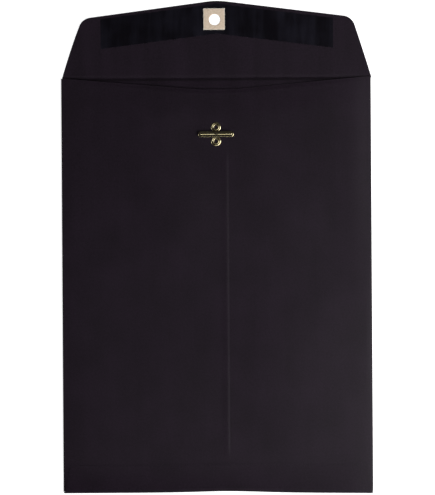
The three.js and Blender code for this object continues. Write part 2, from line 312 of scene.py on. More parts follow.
def lift(x, y):
    """The front sheet's and the flap's height over the table."""
    up_flap = smoothstep(0, FLAP_LIFT_REACH, y - FOLD_Y)
    sideways = np.abs(x - FLAP_MIDDLE) / FLAP_BASE_HALF
    curl = FLAP_LIFT * up_flap * sideways**FLAP_CURL_POWER
    ripple = 0.5 + 0.5 * np.sin(x * 52 + 0.9) * np.sin(y * 60 + 2.0)
    away = smoothstep(*FROM_HOLE, np.hypot(x - HOLE.x, y - HOLE.y))
    return crease(y) + away * (curl + FLAP_RIPPLE * ripple * up_flap)


def throat(x):
    """The y of the back panels' top edge."""
    flat = THROAT_FLAT / 2
    foot = FOLD_Y - THROAT_DEPTH
    left = foot + (THROAT_DEPTH - LEFT_CORNER_DROP) * (-flat - x) / (-flat - left_low.x)
    right = foot + (THROAT_DEPTH - RIGHT_CORNER_DROP) * (x - flat) / (right_high.x - flat)
    return np.where(x < -flat, left, np.where(x > flat, right, foot))


def seam_ridge(x, y):
    """The left panel's rise over the glue line, which ends in a pressed-down edge."""
    up = smoothstep(SEAM_X - SEAM_SLOPE[0], SEAM_X - SEAM_SLOPE[1], x)
    down = 1 - smoothstep(SEAM_X - SEAM_FALL, SEAM_X, x)
    below_clasp = smoothstep(*SEAM_FROM_CLASP, CLASP_Y - y)
    from_foot = smoothstep(*SEAM_FROM_FOOT, y - bottom_flap_high.y)
    return SEAM_RISE * up * down * below_clasp * from_foot


def foot_shift(x, y):
    """How far the foot of the envelope strays from a straight line, as the photograph shows."""
    rise = FOOT_RISE * np.exp(-(((x - FOOT_RISE_X) / FOOT_RISE_WIDTH) ** 2))
    fall = FOOT_SKEW * np.clip(x / right_high.x, 0, 1)
    down = 1 - smoothstep(bottom_flap_low.y, FOOT_END_Y, y)
    return (rise - fall - FOOT_DROP) * down


def flap_line(inset, x):
    """The y of a line parallel to the flap's top edges, a distance inside them."""
    return APEX_Y - inset * math.hypot(1, FLAP_SLOPE) - FLAP_SLOPE * np.abs(x - FLAP_MIDDLE)


# Mesh making


def make_object(name, vertices, faces, uv=None, slots=None):
    """A smooth mesh object, with a UV point for each vertex and a material slot for each face."""
    mesh = bpy.data.meshes.new(name)
    mesh.from_pydata([tuple(v) for v in vertices], [], [tuple(f) for f in faces])
    mesh.validate()
    if uv is not None:
        layer = mesh.uv_layers.new(name="sheet")
        corners = np.array([uv[loop.vertex_index] for loop in mesh.loops], np.float32)
        layer.uv.foreach_set("vector", corners.ravel())
    if slots is not None:
        mesh.polygons.foreach_set("material_index", slots)
    mesh.update()
    obj = bpy.data.objects.new(name, mesh)
    bpy.context.scene.collection.objects.link(obj)
    mesh.polygons.foreach_set("use_smooth", [True] * len(mesh.polygons))
    mesh.set_sharp_from_angle(angle=math.radians(SHEET_CREASE_DEGREES))
    return obj


def thicken(name, top, bottom, faces):
    """A closed thin solid between two surfaces with the same faces.

    Its rim takes the second material and its underside the third. The foot's stray is added here.
    """
    top, bottom = np.asarray(top), np.asarray(bottom)
    count = len(top)
    a, b, c = (top[i] for i in faces[0][:3])
    if np.cross(b - a, c - a) @ (a - bottom[faces[0][0]]) < 0:
        faces = [tuple(reversed(face)) for face in faces]
    directed = {(face[i - 1], face[i]) for face in faces for i in range(len(face))}
    rim = sorted((a, b) for a, b in directed if (b, a) not in directed)
    under = [tuple(i + count for i in reversed(face)) for face in faces]
    walls = [(b, a, a + count, b + count) for a, b in rim]
    uv = np.concatenate([top[:, :2], bottom[:, :2]]) / UV_UNIT
    vertices = np.concatenate([top, bottom])
    vertices[:, 1] += foot_shift(vertices[:, 0], vertices[:, 1])
    slots = [0] * len(faces) + [2] * len(under) + [1] * len(walls)
    return make_object(name, vertices, [*faces, *under, *walls], uv, slots)


def grid_faces(columns, rows, skip=None):
    """Quads of a grid whose vertex (column, row) has index column * rows + row."""
    faces = []
    for i in range(columns - 1):
        for j in range(rows - 1):
            if skip and skip[0] <= i < skip[1] and skip[2] <= j < skip[3]:
                continue
            a = i * rows + j
            faces.append((a, a + rows, a + rows + 1, a + 1))
    return faces


def cell_loop(skip, rows):
    """The vertices round a skipped block of cells, counter-clockwise."""
    i0, i1, j0, j1 = skip
    loop = [(i, j0) for i in range(i0, i1)]
    loop += [(i1, j) for j in range(j0, j1)]
    loop += [(i, j1) for i in range(i1, i0, -1)]
    loop += [(i0, j) for j in range(j1, j0, -1)]
    return [i * rows + j for i, j in loop]


def ring_to_hole(points, faces, loop):
    """Fills between a loop and the round hole inside it, in place, with rings of quads."""
    count = len(loop)
    outer = [np.array(points[i][:2]) for i in loop]
    hole = np.array(HOLE[:2])
    inner = [hole + HOLE_RADIUS * (p - hole) / np.linalg.norm(p - hole) for p in outer]
    previous = list(loop)
    for ring in range(1, HOLE_RINGS + 1):
        share = ring / HOLE_RINGS
        start = len(points)
        points.extend(tuple(o + (n - o) * share) for o, n in zip(outer, inner))
        current = list(range(start, start + count))
        for k in range(count):
            n = (k + 1) % count
            faces.append((previous[k], previous[n], current[n], current[k]))
        previous = current


def past_hole(low, centre, high, step):
    """Even steps from low to high, with the hole's block of smaller even steps in between."""
    cells = steps(-HOLE_CELL_HALF, HOLE_CELL_HALF, 2 * HOLE_CELL_HALF / HOLE_CELL_STEPS)
    before = steps(low, centre - HOLE_CELL_HALF, step)
    return joined(before, centre + cells, steps(centre + HOLE_CELL_HALF, high, step))


def nearest(values, place):
    return int(np.argmin(np.abs(values - place)))


def holed_faces(points, columns, rows):
    """A grid's faces with the round hole in them. The hole's rings are added to the points."""
    skip = [
        nearest(places, middle + end * HOLE_CELL_HALF)
        for places, middle in ((columns, HOLE.x), (rows, HOLE.y))
        for end in (-1, 1)
    ]
    faces = grid_faces(len(columns), len(rows), skip)
    ring_to_hole(points, faces, cell_loop(skip, len(rows)))
    return faces


def clipped(points, faces, lines):
    """The flat mesh cut to the inner side of each line (point, outward normal)."""
    bm = bmesh.new()
    vertices = [bm.verts.new((p[0], p[1], 0)) for p in points]
    for face in faces:
        bm.faces.new([vertices[i] for i in face])
    loose = [v for v in bm.verts if not v.link_faces]
    bmesh.ops.delete(bm, geom=loose, context="VERTS")
    for point, normal in lines:
        bmesh.ops.bisect_plane(
            bm,
            geom=bm.verts[:] + bm.edges[:] + bm.faces[:],
            dist=1e-7,
            plane_co=(*point, 0),
            plane_no=(*normal, 0),
            clear_outer=True,
        )
    bm.verts.index_update()
    kept = [(v.co.x, v.co.y) for v in bm.verts]
    polygons = [tuple(v.index for v in face.verts) for face in bm.faces]
    bm.free()
    return kept, polygons


def unit(vector):
    return vector / np.linalg.norm(vector)


def corner_lines(corner, before, after, radius, count=9):
    """Tangent lines of the arc that rounds a convex corner, as clipping lines."""
    corner, before, after = (np.array(p, float) for p in (corner, before, after))
    back, on = unit(before - corner), unit(after - corner)
    half = math.acos(np.clip(back @ on, -1, 1)) / 2
    centre = corner + unit(back + on) * radius / math.sin(half)
    start = corner + back * radius / math.tan(half) - centre
    end = corner + on * radius / math.tan(half) - centre
    a0 = math.atan2(start[1], start[0])
    turn = (math.atan2(end[1], end[0]) - a0 + math.pi) % (2 * math.pi) - math.pi
    lines = []
    for share in np.linspace(0, 1, count):
        angle = a0 + turn * share
        normal = np.array([math.cos(angle), math.sin(angle)])
        lines.append((centre + radius * normal, normal))
    return lines


def row_of(x, y, z):
    """Points from three coordinates, each of them one value or a run of values."""
    return np.stack(np.broadcast_arrays(x, y, z), 1)


def path_sheet(name, outer, inner):
    """A closed sheet between two grids of points, both columns by rows by 3."""
    outer, inner = np.array(outer), np.array(inner)
    faces = grid_faces(*outer.shape[:2])
    return thicken(name, outer.reshape(-1, 3), inner.reshape(-1, 3), faces)


def lying_sheet(name, flat, polygons, under, thickness):
    """A flat mesh made a solid that follows the open front sheet, its underside at a height over it."""
    flat = np.array(flat)
    z = lift(flat[:, 0], flat[:, 1]) + under
    return thicken(name, np.column_stack([flat, z + thickness]), np.column_stack([flat, z]), polygons)


# The paper blank's pieces


def fold_arc(radius):
    """Pairs of (outward, height) on a half-round fold's outer and inner faces, from its top down."""
    angles = np.linspace(math.pi / 2, -math.pi / 2, ARC_STEPS + 1)[1:]
    sizes = (radius, radius - PAPER)
    return zip(*(np.stack([size * np.cos(angles), radius + size * np.sin(angles)], 1) for size in sizes))


def to_throat(rows, top):
    """The rows with those of the mouth's band moved, so that the last one lies on the panel's top edge."""
    anchor = FOLD_Y - MOUTH_BAND
    return np.where(rows > anchor, anchor + (rows - anchor) * (top - anchor) / (FOLD_Y - anchor), rows)


def across_panel(free_x, fold_x, side):
    """The columns' x from the free edge to the fold, closer at the throat's corners and the seam."""
    flat = steps(min(free_x, fold_x), max(free_x, fold_x), SHEET_STEP)
    breaks = [x for x in (-THROAT_FLAT / 2, THROAT_FLAT / 2) if flat[0] < x < flat[-1]]
    fine = SEAM_X - np.array(SEAM_COLUMNS) * MM
    flat = joined(flat, np.array(breaks), fine[(fine > flat[0]) & (fine <= flat[-1])])
    return flat if side > 0 else flat[::-1]


def side_panel(name, free_x, fold_x, top_z, side, corner_drop):
    """A back panel with its side fold, one sheet from its free edge round to the table."""
    rows = joined(
        steps(left_low.y, FOLD_Y - MOUTH_BAND, SHEET_STEP),
        steps(FOLD_Y - MOUTH_BAND, FOLD_Y - LIP_BAND, MOUTH_STEP),
        steps(FOLD_Y - LIP_BAND, FOLD_Y, LIP_STEP),
    )
    outer, inner = [], []
    for x in across_panel(free_x, fold_x, side):
        y = to_throat(rows, float(throat(np.array(x))))
        z = top_z + panel_height(np.full_like(y, x), y)
        if side < 0:
            z = z + seam_ridge(x, y)
        outer.append(row_of(x, y, z))
        inner.append(row_of(x, y, z - PAPER))
    y = to_throat(rows, FOLD_Y - corner_drop)
    sunk = 1 + edge_roll(fold_x, y) / top_z
    for (ox, oz), (ix, iz) in fold_arc(top_z / 2):
        outer.append(row_of(fold_x + side * ox, y, oz * sunk))
        inner.append(row_of(fold_x + side * ix, y, iz * sunk))
    return path_sheet(name, outer, inner)


def bottom_sheet():
    """The bottom flap with the bottom fold, one sheet from its free edge round to the table."""
    top_z = bottom_flap_high.z
    fold_y, edge_y = bottom_flap_low.y, bottom_flap_high.y
    low_x, high_x = bottom_flap_low.x, bottom_flap_high.x
    share = steps(0, 1, 0.02)
    near_edge = steps(edge_y - EDGE_BAND, edge_y, EDGE_STEP)
    ys = joined(steps(fold_y, edge_y - EDGE_BAND, SHEET_STEP / 2), near_edge)[::-1]
    outer, inner = [], []
    for y in ys:
        inset = BOTTOM_FLAP_TAPER * (y - fold_y) / (edge_y - fold_y)
        x = low_x + inset + (high_x - low_x - 2 * inset) * share
        z = top_z + panel_height(x, np.full_like(x, y)) + foot_press(x, y)
        outer.append(row_of(x, y, z))
        inner.append(row_of(x, y, z - PAPER))
    for (oy, oz), (iy, iz) in fold_arc(top_z / 2):
        out = float(oy) / (top_z / 2 + FOOT_CORNER_EASE)
        spread = FOOT_CORNER_SPREAD - FOOT_CORNER * (1 - math.sqrt(1 - out * out))
        x = low_x - spread + (high_x - low_x + 2 * spread) * share
        sunk = 1 + edge_roll(x, fold_y) / top_z
        outer.append(row_of(x, fold_y - oy, oz * sunk))
        inner.append(row_of(x, fold_y - iy, iz * sunk))
    return path_sheet("bottom_flap_sheet", outer, inner)


def flap_edges(y):
    """The left and right x of the front sheet and the flap at a height."""
    if y <= FOLD_Y - FOLD_BAND:
        return front_low.x, front_high.x
    share = max(0.0, (y - FOLD_Y) / (SHOULDER_Y - FOLD_Y))
    half = FLAP_BASE_HALF - share * FLAP_SHOULDER_INSET
    bow = 1 + FLAP_BOW_RISE * share - FLAP_BOW_FALL * share**2
    return FLAP_MIDDLE - half - FLAP_LEFT_SPREAD * bow, FLAP_MIDDLE + half + FLAP_RIGHT_SPREAD * bow


def front_outline():
    """Clipping lines that round the flap's apex and its two shoulders."""
    apex = (FLAP_MIDDLE, APEX_Y)
    base_y = FOLD_Y + FLAP_BASE_SHARE * (SHOULDER_Y - FOLD_Y)
    left_base, right_base = flap_edges(base_y)
    left_shoulder, right_shoulder = flap_edges(SHOULDER_Y)
    right = (right_shoulder, SHOULDER_Y)
    left = (left_shoulder, SHOULDER_Y - FLAP_LEFT_SAG)
    lines = corner_lines(apex, right, left, APEX_RADIUS)
    lines += corner_lines(right, (right_base, base_y), apex, SHOULDER_RADIUS)
    lines += corner_lines(left, (left_base, base_y), apex, SHOULDER_RADIUS)
    return lines


def front_sheet():
    """The front panel and the seal flap, one sheet with a shallow crease along the top fold."""
    columns = past_hole(front_low.x, HOLE.x, front_high.x, SHEET_STEP)
    rows = joined(
        steps(front_low.y, FOLD_Y - CREASE_BAND, SHEET_STEP),
        steps(FOLD_Y - CREASE_BAND, FOLD_Y - FOLD_BAND, FINE_STEP),
        steps(FOLD_Y - FOLD_BAND, FOLD_Y + FOLD_BAND, FOLD_BAND / 12),
        steps(FOLD_Y + FOLD_BAND, FOLD_Y + CREASE_BAND, FINE_STEP),
        past_hole(FOLD_Y + CREASE_BAND, HOLE.y, APEX_Y + APEX_ROOM, SHEET_STEP / 2),
    )
    points = []
    for x in columns:
        share = (x - front_low.x) / (front_high.x - front_low.x)
        for y in rows:
            left, right = flap_edges(y)
            points.append((left + (right - left) * share, y))
    faces = holed_faces(points, columns, rows)
    flat, polygons = clipped(points, faces, front_outline())
    return lying_sheet("front_sheet", flat, polygons, 0, PAPER)


# Films and patches that lie on the sheets


def wander(x, waves):
    return sum(size * math.sin(x * turns + phase) for size, turns, phase in waves)


def gum_film():
    """The dried gum, a band along the flap's top edges whose rim wanders a little."""
    columns = joined(past_hole(gum_low.x, HOLE.x, gum_high.x, SHEET_STEP / 2), [FLAP_MIDDLE])
    foot = float(flap_line(GUM_INSET + GUM_HEIGHT, FLAP_MIDDLE))
    head = float(flap_line(GUM_INSET, FLAP_MIDDLE))
    rows = past_hole(foot, HOLE.y, head, FINE_STEP)
    shares = (rows - foot) / (head - foot)
    points = []
    for x in columns:
        low = float(flap_line(GUM_INSET + GUM_HEIGHT, x)) + wander(x, GUM_FOOT_WAVES)
        high = float(flap_line(GUM_INSET, x)) + wander(x, GUM_HEAD_WAVES)
        points += [(x, low + (high - low) * share) for share in shares]
    faces = holed_faces(points, columns, rows)
    flat, polygons = clipped(points, faces, [])
    return lying_sheet("gum_film", flat, polygons, PAPER, gum_high.z - gum_low.z)


def patch_rim():
    """Points round the patch's slightly ragged square rim, and their directions from its middle."""
    side = [(x, -PATCH_HALF) for x in np.linspace(-PATCH_HALF, PATCH_HALF, PATCH_SIDE_STEPS, endpoint=False)]
    square = side + [(-y, x) for x, y in side] + [(-x, -y) for x, y in side] + [(y, -x) for x, y in side]
    square = np.array(square)
    direction = square / np.linalg.norm(square, axis=1)[:, None]
    index = np.arange(len(square))
    ragged = 1 + PATCH_RAGGED * np.sin(index * 2.3) * np.sin(index * 0.7)
    return square * ragged[:, None] + np.array(PATCH_SHIFT), direction


def hole_patch():
    """The square patch: rings from its round hole out to its square rim, both edges eased."""
    square, direction = patch_rim()
    circle = direction * HOLE_RADIUS
    count = len(square)
    top, bottom, faces = [], [], []
    for share, down in PATCH_RINGS:
        ring = circle + (square - circle) * share + np.array(HOLE[:2])
        z = lift(ring[:, 0], ring[:, 1]) + PAPER + (gum_high.z - gum_low.z)
        thick = patch_high.z - patch_low.z
        bottom.append(np.column_stack([ring, z]))
        top.append(np.column_stack([ring, z + thick * (1 - down)]))
    for ring in range(len(PATCH_RINGS) - 1):
        for k in range(count):
            a, b = ring * count + k, ring * count + (k + 1) % count
            faces.append((a, a + count, b + count, b))
    patch = thicken("hole_patch", np.concatenate(top), np.concatenate(bottom), faces)
    rim_faces = slice((len(PATCH_RINGS) - 3) * count, (len(PATCH_RINGS) - 1) * count)
    for polygon in patch.data.polygons[rim_faces]:
        polygon.material_index = 1
    return patch


def film_sheet(name, low, high, bottom_z, top_z):
    """A rectangular glue film that follows the back panels' undulation."""
    columns = steps(low.x, high.x, SHEET_STEP)
    rows = steps(low.y, high.y, SHEET_STEP)
    grid = np.array([[(x, y) for y in rows] for x in columns])
    x, y = grid[..., 0], grid[..., 1]
    height = panel_height(x, y) + foot_press(x, y)
    return path_sheet(name, np.dstack([grid, height + top_z]), np.dstack([grid, height + bottom_z]))


# The clasp


def lathe(name, profile, centre, segments=72):
    """A closed profile of (radius, height) turned about a vertical axis."""
    count = len(profile)
    vertices, faces = [], []
    for k in range(segments):
        n = (k + 1) % segments
        angle = 2 * math.pi * k / segments
        across, along = math.cos(angle), math.sin(angle)
        vertices += [(centre[0] + radius * across, centre[1] + radius * along, z) for radius, z in profile]
        for j in range(count):
            m = (j + 1) % count
            faces.append((k * count + j, n * count + j, n * count + m, k * count + m))
    return make_object(name, vertices, faces)


def rounded_profile(points, passes=2):
    """The closed profile with its corners eased, by cutting each corner off in turn."""
    points = np.array(points, float)
    for _ in range(passes):
        following = np.roll(points, -1, axis=0)
        near = points * 0.8 + following * 0.2
        far = points * 0.2 + following * 0.8
        points = np.stack([near, far], 1).reshape(-1, 2)
    return [tuple(p) for p in points]


LUG_YS = [
    (upper_eyelet_low.y + upper_eyelet_high.y) / 2 - CLASP_DROP,
    (lower_eyelet_low.y + lower_eyelet_high.y) / 2 - CLASP_DROP,
]
LUG_BORE = 1.8 * MM
BARREL_RADIUS = 1.5 * MM
BORE_RADIUS = 1.38 * MM
FLANGE_RADIUS = (upper_eyelet_high.x - upper_eyelet_low.x) / 2
PLATE_TOP = plate_low.z + METAL
RIM_TOP = PLATE_TOP + 0.29 * MM
RIM_WIDTH = 0.85 * MM
WAIST_HALF = 2 * MM
TAB_X = 0.17 * MM
PRONG_TRIM = 0.15 * MM
PRONG_SHORTER = 0.45 * MM
PRONG_BEND = 0.16 * MM
PRONG_STEP = 0.25 * MM
HINGE_STEP = 0.06 * MM
HINGE_BAND = 0.5 * MM
HINGE_X = -PRONG_AXIS.x
BEAD_HALF = 0.85 * MM
BEAD_SHIFT = 0.3 * MM
BEAD_ROOT = TAB_X - 0.1 * MM
BEAD_ROOT_END = 0.2 * MM
BEAD_HINGE_SHARE = 0.8
BEAD_HINGE_REACH = 2.0 * MM
BEAD_TIP_MARGIN = 1.15 * MM
BEAD_END = 0.55 * MM
COINED_EDGE = 0.34 * MM
COINED_DEPTH = 0.16 * MM
UNDER_EDGE = 0.17 * MM
UNDER_DEPTH = 0.048 * MM


def lug_washer(y):
    """One dished lug with its raised rolled rim."""
    rim = LUG_RADIUS - RIM_WIDTH
    profile = [
        (LUG_BORE, plate_low.z),
        (LUG_RADIUS - 0.12 * MM, plate_low.z),
        (LUG_RADIUS, plate_low.z + 0.1 * MM),
        (LUG_RADIUS, PLATE_TOP - 0.08 * MM),
        (LUG_RADIUS - 0.1 * MM, PLATE_TOP),
        (rim, RIM_TOP),
        (rim, PLATE_TOP),
        (rim - 0.5 * MM, PLATE_TOP - 0.02 * MM),
        (LUG_BORE, PLATE_TOP),
    ]
    return lathe("lug", rounded_profile(profile, 1), (CLASP_X, y))


def union(objects, name):
    """The objects joined into one closed skin."""
    base = objects[0]
    for other in objects[1:]:
        modifier = base.modifiers.new("join", "BOOLEAN")
        modifier.operation = "UNION"
        modifier.solver = "EXACT"
        modifier.object = other
        bpy.context.view_layer.objects.active = base
        bpy.ops.object.modifier_apply(modifier=modifier.name)
        bpy.data.objects.remove(other)
    base.name = name
    base.data.set_sharp_from_angle(angle=math.radians(STAMPING_CREASE_DEGREES))
    return base


def box_mesh(name, low, high):
    xs, ys, zs = zip(low, high)
    vertices = [(x, y, z) for x in xs for y in ys for z in zs]
    faces = [(0, 1, 3, 2), (4, 6, 7, 5), (0, 4, 5, 1), (2, 3, 7, 6), (0, 2, 6, 4), (1, 5, 7, 3)]
    return make_object(name, vertices, faces)


def clasp_plate():
    """The stamping: two lugs and the waist between them."""
    inset = (LUG_BORE + LUG_RADIUS) / 2
    low = (CLASP_X - WAIST_HALF, LUG_YS[1] + inset, plate_low.z)
    high = (CLASP_X + WAIST_HALF, LUG_YS[0] - inset, PLATE_TOP - 0.01 * MM)
    lugs = [lug_washer(y) for y in LUG_YS]
    return union([*lugs, box_mesh("waist", low, high)], "clasp_plate_stamping")


def eyelet_rivet(name, y, low_z, high_z):
    """A tubular rivet: its curl over the lug, its barrel and its clinch inside the pocket."""
    panel_z = right_low.z
    curl = high_z - PLATE_TOP
    middle = (BORE_RADIUS + FLANGE_RADIUS) / 2
    profile = [
        (BORE_RADIUS, low_z + 0.06 * MM),
        (BORE_RADIUS + 0.12 * MM, low_z),
        (FLANGE_RADIUS - 0.15 * MM, low_z),
        (FLANGE_RADIUS, low_z + 0.12 * MM),
        (FLANGE_RADIUS - 0.02 * MM, panel_z),
        (BARREL_RADIUS, panel_z),
        (BARREL_RADIUS, PLATE_TOP),
        (FLANGE_RADIUS - 0.05 * MM, PLATE_TOP),
        (FLANGE_RADIUS, PLATE_TOP + 0.3 * curl),
        (FLANGE_RADIUS - 0.2 * MM, PLATE_TOP + 0.85 * curl),
        (middle, high_z + 0.02 * MM),
        (BORE_RADIUS + 0.25 * MM, PLATE_TOP + 0.8 * curl),
        (BORE_RADIUS + 0.03 * MM, PLATE_TOP + 0.35 * curl),
    ]
    return lathe(name, rounded_profile(profile, 2), (CLASP_X, y))


def prong_stations(reach, half):
    """The strip's middle line as (x, z, angle): up the tab, round the bend and out to the tip."""
    bend_z = PRONG_AXIS.z - PRONG_BEND
    stations = [(TAB_X, z, math.pi / 2) for z in steps(plate_low.z + METAL / 2, bend_z, PRONG_STEP)]
    for angle in np.linspace(math.pi / 2, 0, 9)[1:]:
        along = PRONG_BEND * (1 - math.sin(angle))
        stations.append((TAB_X + along, bend_z + PRONG_BEND * math.cos(angle), angle))
    straight = joined(
        steps(TAB_X + PRONG_BEND, HINGE_X + HINGE_BAND, HINGE_STEP),
        steps(HINGE_X + HINGE_BAND, reach - half, PRONG_STEP),
    )[1:]
    tip = reach - half + half * np.sin(np.linspace(0, math.pi / 2, 14))[1:]
    return stations + [(x, PRONG_AXIS.z, 0) for x in np.concatenate([straight, tip])]


def bead_share(x, reach):
    """How much of the bead's height stands at a place: soft ends, and a little less at the hinge."""
    tip = reach - BEAD_TIP_MARGIN
    root = smoothstep(BEAD_ROOT, BEAD_ROOT + BEAD_ROOT_END, x)
    hinge = BEAD_HINGE_SHARE + (1 - BEAD_HINGE_SHARE) * smoothstep(HINGE_X, HINGE_X + BEAD_HINGE_REACH, x)
    return float(root * (1 - smoothstep(tip - BEAD_END, tip, x)) * hinge)


def prong_ring(over, half, bead):
    """A cross-section as (y, height), from its share of the way through the round tip and its bead."""
    width = half * math.sqrt(max(1e-4, 1 - over * over))
    across = np.sin(np.linspace(-math.pi / 2, math.pi / 2, 33))

    def eased(y, reach):
        inside = half - math.hypot(over * half, y)
        return 1 - float(smoothstep(0, reach, inside))

    ring = []
    for y in across * width:
        off_bead = min(1, abs(y - BEAD_SHIFT) / BEAD_HALF)
        lump = bead * (0.5 + 0.5 * math.cos(math.pi * off_bead))
        ring.append((y, METAL / 2 - COINED_DEPTH * eased(y, COINED_EDGE) + lump))
    for y in across[::-1][1:-1] * width:
        ring.append((y, -METAL / 2 + UNDER_DEPTH * eased(y, UNDER_EDGE)))
    return ring


def prong_strip(name, side):
    """A tab and its prong, one strip of metal with a raised bead and a square outer bend."""
    reach = -prong_low.x - PRONG_SHORTER
    half = (prong_high.y - prong_low.y) / 2 - PRONG_TRIM
    bead_high = prong_high.z - prong_low.z - METAL
    stations = prong_stations(reach, half)
    vertices = []
    for x, z, angle in stations:
        over = max(0.0, (x - (reach - half)) / half)
        for y, off in prong_ring(over, half, bead_high * bead_share(x, reach)):
            if off > 0:
                off = (PRONG_BEND + off) / max(math.sin(angle), math.cos(angle)) - PRONG_BEND
            out = x - math.sin(angle) * off
            vertices.append((side * out + CLASP_X, CLASP_Y - PRONG_TRIM + y, z + math.cos(angle) * off))
    count = len(vertices) // len(stations)
    faces = []
    for near in range(0, len(vertices) - count, count):
        far = near + count
        for k in range(count):
            n = (k + 1) % count
            faces.append((near + k, far + k, far + n, near + n))
    faces.append(tuple(range(count)))
    faces.append(tuple(range(len(vertices) - count, len(vertices)))[::-1])
    if side < 0:
        faces = [face[::-1] for face in faces]
    return make_object(name, vertices, faces)


# Materials


def linear(red, green, blue):
    """An sRGB colour of 0 to 255 as linear values with alpha."""
    values = [c / 255 for c in (red, green, blue)]
    return tuple(c / 12.92 if c <= 0.04045 else ((c + 0.055) / 1.055) ** 2.4 for c in values) + (1,)


class Tree:
    """A node tree, with short calls for the nodes that this scene uses."""

    def __init__(self, owner):
        owner.use_nodes = True
        self.tree = owner.node_tree

    def add(self, kind, **settings):
        node = self.tree.nodes.new(kind)
        for key, value in settings.items():
            setattr(node, key, value)
        return node

    def link(self, source, target):
        self.tree.links.new(source, target)

    def feed(self, socket, value):
        """Gives a socket a plain value, or links another socket to it."""
        if isinstance(value, (int, float, tuple)):
            socket.default_value = value
        else:
            self.link(value, socket)

    def fill(self, node, **values):
        """Feeds a node's inputs by their names, with _ for a space."""
        for key, value in values.items():
            self.feed(node.inputs[key.replace("_", " ")], value)

    def remap(self, value, low, high, to_low, to_high, curve="LINEAR"):
        node = self.add("ShaderNodeMapRange", interpolation_type=curve)
        self.fill(node, Value=value, From_Min=low, From_Max=high, To_Min=to_low, To_Max=to_high)
        return node.outputs["Result"]

    def combine(self, operation, first, second):
        node = self.add("ShaderNodeMath", operation=operation)
        self.feed(node.inputs[0], first)
        self.feed(node.inputs[1], second)
        return node.outputs["Value"]

    def total(self, first, weight, second, second_weight):
        """The sum of two values, each times its weight."""
        parts = [self.combine("MULTIPLY", *pair) for pair in ((first, weight), (second, second_weight))]
        return self.combine("ADD", *parts)


class Surface(Tree):
    """A new material's tree, with calls for its textures, colours, bump and shader."""

    def __init__(self, name):
        self.material = bpy.data.materials.new(name)
        super().__init__(self.material)
        self.shader = self.tree.nodes["Principled BSDF"]

    def coordinates(self, output, scale=(1, 1, 1), turn=0.0):
        """Texture coordinates scaled by a value for each axis, turned about Z."""
        place = self.add("ShaderNodeTexCoord")
        mapping = self.add("ShaderNodeMapping")
        self.fill(mapping, Scale=scale, Rotation=(0, 0, turn), Vector=place.outputs[output])
        return mapping.outputs["Vector"]

    def noise(self, vector, scale, detail, roughness):
        node = self.add("ShaderNodeTexNoise")
        self.fill(node, Vector=vector, Scale=scale, Detail=detail, Roughness=roughness)
        return node.outputs["Fac"]

    def mix(self, factor, first, second):
        node = self.add("ShaderNodeMix", data_type="RGBA")
        self.link(factor, node.inputs[0])
        colours = [socket for socket in node.inputs if socket.type == "RGBA"]
        for socket, value in zip(colours, (first, second)):
            self.feed(socket, value)
        return next(socket for socket in node.outputs if socket.type == "RGBA")

    def shades(self, value, low, high, dark, light):
        """A colour from dark to light as the value goes from low to high."""
        return self.mix(self.remap(value, low, high, 0.0, 1.0), dark, light)

    def bump(self, height, distance, strength):
        node = self.add("ShaderNodeBump")
        self.fill(node, Height=height, Distance=distance, Strength=strength)
        self.fill(self.shader, Normal=node.outputs["Normal"])

    def finish(self, **values):
        """The material, with its shader's inputs filled."""
        self.fill(self.shader, **values)
        return self.material


def fibres(nodes, scale):
    """Long thin marks in three directions, as felted fibres lie, on the sheets' flat coordinates."""
    first, second, third = (
        nodes.noise(nodes.coordinates("UV", (scale * 7, scale, 1), turn), 1.0, 2.0, 0.6)
        for turn in (0.35, -0.75, 1.5)
    )
    return nodes.combine("MAXIMUM", nodes.combine("MAXIMUM", first, second), third)


def along_sheet(nodes, low, high, from_value, to_value):
    """A value that changes from one to another between two heights y on the sheet."""
    place = nodes.add("ShaderNodeTexCoord")
    split = nodes.add("ShaderNodeSeparateXYZ")
    nodes.link(place.outputs["UV"], split.inputs[0])
    y = split.outputs["Y"]
    return nodes.remap(y, low / UV_UNIT, high / UV_UNIT, from_value, to_value, "SMOOTHSTEP")


def painted_line_mask(nodes, centre, below, above):
    """1 along a line across the sheet, fading to 0 a little below and above it."""
    up = along_sheet(nodes, centre - below, centre, 0.0, 1.0)
    down = along_sheet(nodes, centre, centre + above, 1.0, 0.0)
    return nodes.combine("MULTIPLY", up, down)


def paint_fold_shade_and_highlight(nodes, colour):
    """The colour with painted shade and a painted highlight at the top fold: a dark line below it, a faint
    light line above it, and painted shade on the front sheet's inner face just below it, in the pocket's
    mouth.
    """
    # Painted shade: a dark line just below the top fold, where the crease's valley lies in shadow.
    dark = painted_line_mask(nodes, FOLD_Y - 1.9 * MM, 1.6 * MM, 2.0 * MM)
    # Painted shade on the front sheet's inner face below the fold, deepening towards it, for the shade
    # inside the pocket's mouth.
    towards_fold = along_sheet(nodes, FOLD_Y - 20 * MM, FOLD_Y - 2 * MM, 0.0, 0.08)
    gone = along_sheet(nodes, FOLD_Y - 2 * MM, FOLD_Y + 0.4 * MM, 1.0, 0.0)
    inside = nodes.combine("MULTIPLY", towards_fold, gone)
    shade = nodes.combine("MAXIMUM", nodes.combine("MULTIPLY", dark, 0.6), inside)
    colour = nodes.mix(shade, colour, linear(3, 2, 3))
    # Painted highlight: a faint light line just above the top fold.
    light = painted_line_mask(nodes, FOLD_Y + 1.0 * MM, 0.9 * MM, 1.2 * MM)
    return nodes.mix(nodes.combine("MULTIPLY", light, 0.06), colour, linear(64, 58, 66))


